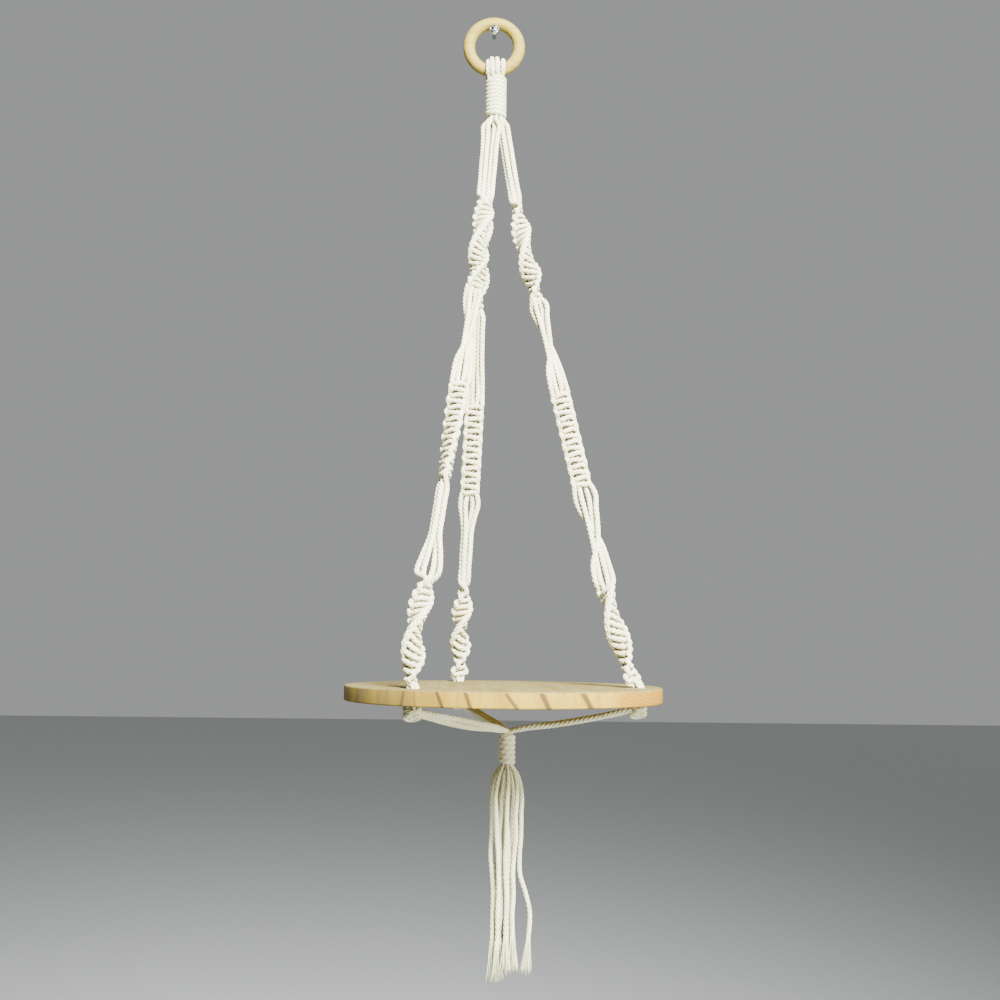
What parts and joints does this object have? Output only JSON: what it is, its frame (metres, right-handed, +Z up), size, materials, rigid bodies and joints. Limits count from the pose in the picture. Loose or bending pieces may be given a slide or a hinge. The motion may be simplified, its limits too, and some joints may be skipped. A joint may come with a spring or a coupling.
{
  "type": "macrame hanging shelf with its ring and wall screw",
  "caption": "Round pine board hung level on knotted cotton cord legs from a wooden ring on a wall screw, with a cord tassel below.",
  "frame": {"origin": "the screw's axis where it leaves the wall", "axes": "+Z up, +Y into the wall, and the viewer on the -Y side with +X to the right"},
  "size_m": [0.25, 0.251, 0.8385],
  "materials": {
    "cotton": "matt twisted cotton cord, natural white",
    "ring_wood": "smooth pale wood, satin",
    "pine": "sanded pine, satin",
    "steel": "bright zinc-plated steel"
  },
  "bodies": {
    "root": {"wall_screw": "steel", "hanging_ring": "ring_wood", "hanging_cords": "cotton", "upper_wrap": "cotton", "leg_front_left": "cotton", "leg_right": "cotton", "leg_back": "cotton", "board": "pine", "under_cords": "cotton", "lower_wrap": "cotton", "tassel": "cotton"}
  },
  "joints": []
}
